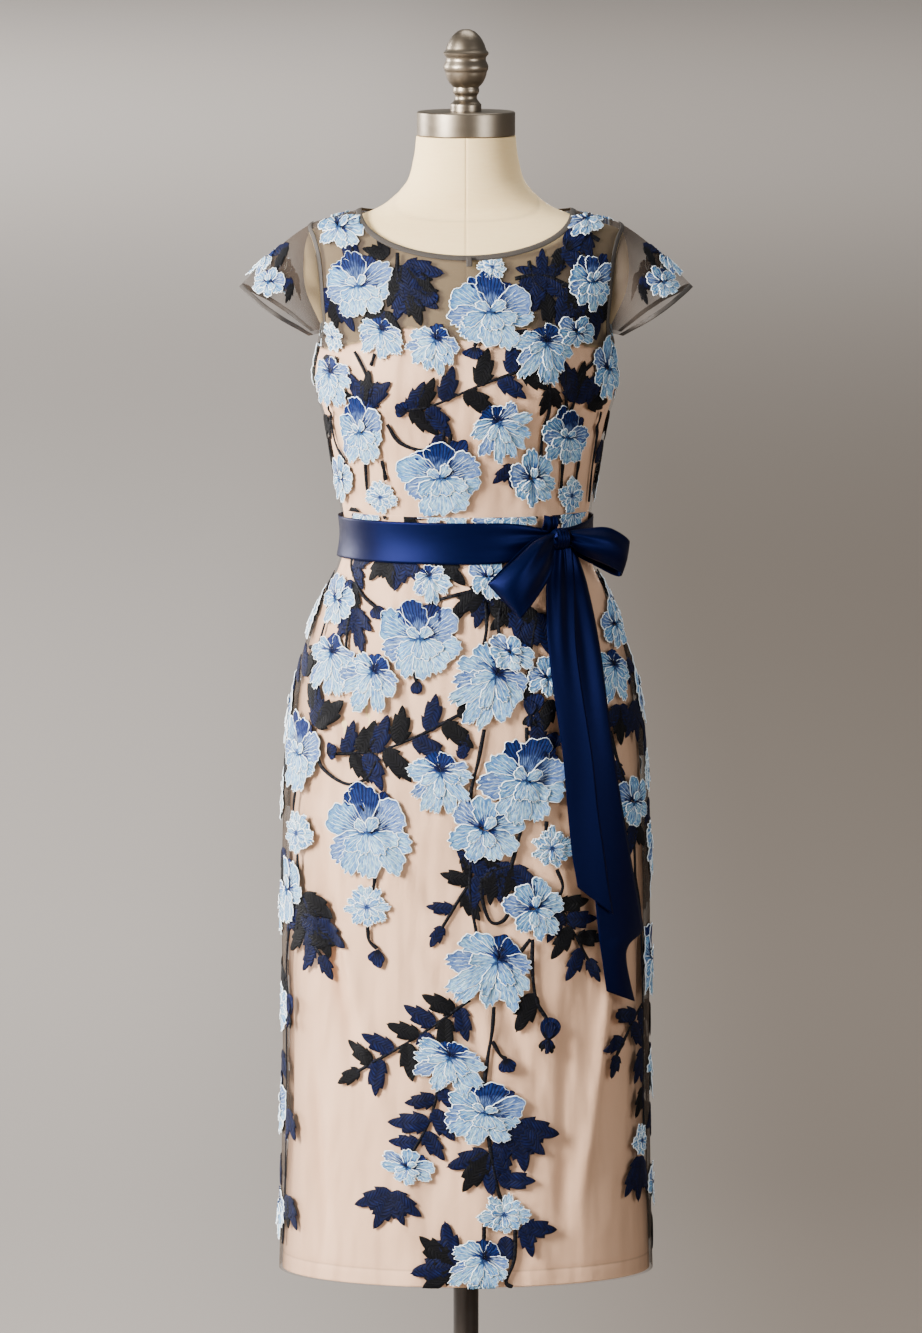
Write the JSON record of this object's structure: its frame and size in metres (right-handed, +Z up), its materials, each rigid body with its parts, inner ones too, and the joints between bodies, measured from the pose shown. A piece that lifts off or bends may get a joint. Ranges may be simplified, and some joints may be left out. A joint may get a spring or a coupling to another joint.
{
  "type": "formal dress on a dress form",
  "caption": "Fitted sheath dress with a sheer overlay over a plain lining, cap sleeves and a ribbon belt tied in a bow, standing on a cloth-covered dress form with a round base",
  "frame": {"origin": "centre of the underside of the stand's round base, on the floor", "axes": "+Z up, the front of the dress faces -Y, the wearer's left is +X"},
  "size_m": [0.441, 0.37, 1.5827],
  "materials": {
    "nude_lining": "smooth plain weave, nude beige",
    "sheer_mesh": "fine sheer net, grey brown, embroidered in blues",
    "grey_binding": "narrow folded grey binding",
    "navy_satin": "navy ribbon satin with a soft sheen",
    "cream_linen": "cream cloth cover, matte",
    "brushed_nickel": "turned and brushed, satin",
    "dark_bronze": "dark bronze paint, soft gloss",
    "zip_metal": "dark plated metal"
  },
  "bodies": {
    "dress_form": {"stand_base": "dark_bronze", "stand_pole": "dark_bronze", "pole_collar": "dark_bronze", "form_torso": "cream_linen", "neck_cap": "brushed_nickel", "finial": "brushed_nickel", "lining_bodice_front": "nude_lining", "lining_skirt_front": "nude_lining", "mesh_bodice_front": "sheer_mesh", "mesh_waistband_front": "sheer_mesh", "mesh_skirt_front": "sheer_mesh", "lining_bodice_back_left": "nude_lining", "lining_skirt_back_left": "nude_lining", "mesh_bodice_back_left": "sheer_mesh", "mesh_waistband_back_left": "sheer_mesh", "mesh_skirt_back_left": "sheer_mesh", "lining_bodice_back_right": "nude_lining", "lining_skirt_back_right": "nude_lining", "mesh_bodice_back_right": "sheer_mesh", "mesh_waistband_back_right": "sheer_mesh", "mesh_skirt_back_right": "sheer_mesh", "cap_sleeve_left": "sheer_mesh", "sleeve_hem_left": "grey_binding", "armhole_binding_left": "grey_binding", "cap_sleeve_right": "sheer_mesh", "sleeve_hem_right": "grey_binding", "armhole_binding_right": "grey_binding", "neck_binding": "grey_binding", "neck_loop": "grey_binding", "ribbon_belt": "navy_satin", "bow_knot": "navy_satin", "knot_wrap": "navy_satin", "bow_loop_front": "navy_satin", "bow_loop_side": "navy_satin", "bow_tail_short": "navy_satin", "bow_tail_long": "navy_satin", "zip_chain": "grey_binding", "zip_slider": "zip_metal"},
    "zip_pull": {"zip_pull": "zip_metal"}
  },
  "joints": [
    {"name": "zip_pull_hinge", "type": "hinge", "parent": "dress_form", "child": "zip_pull", "pos_m": [0, 0.08324, 1.3852], "axis": [1, 0, 0], "range_deg": [0, 150]}
  ]
}
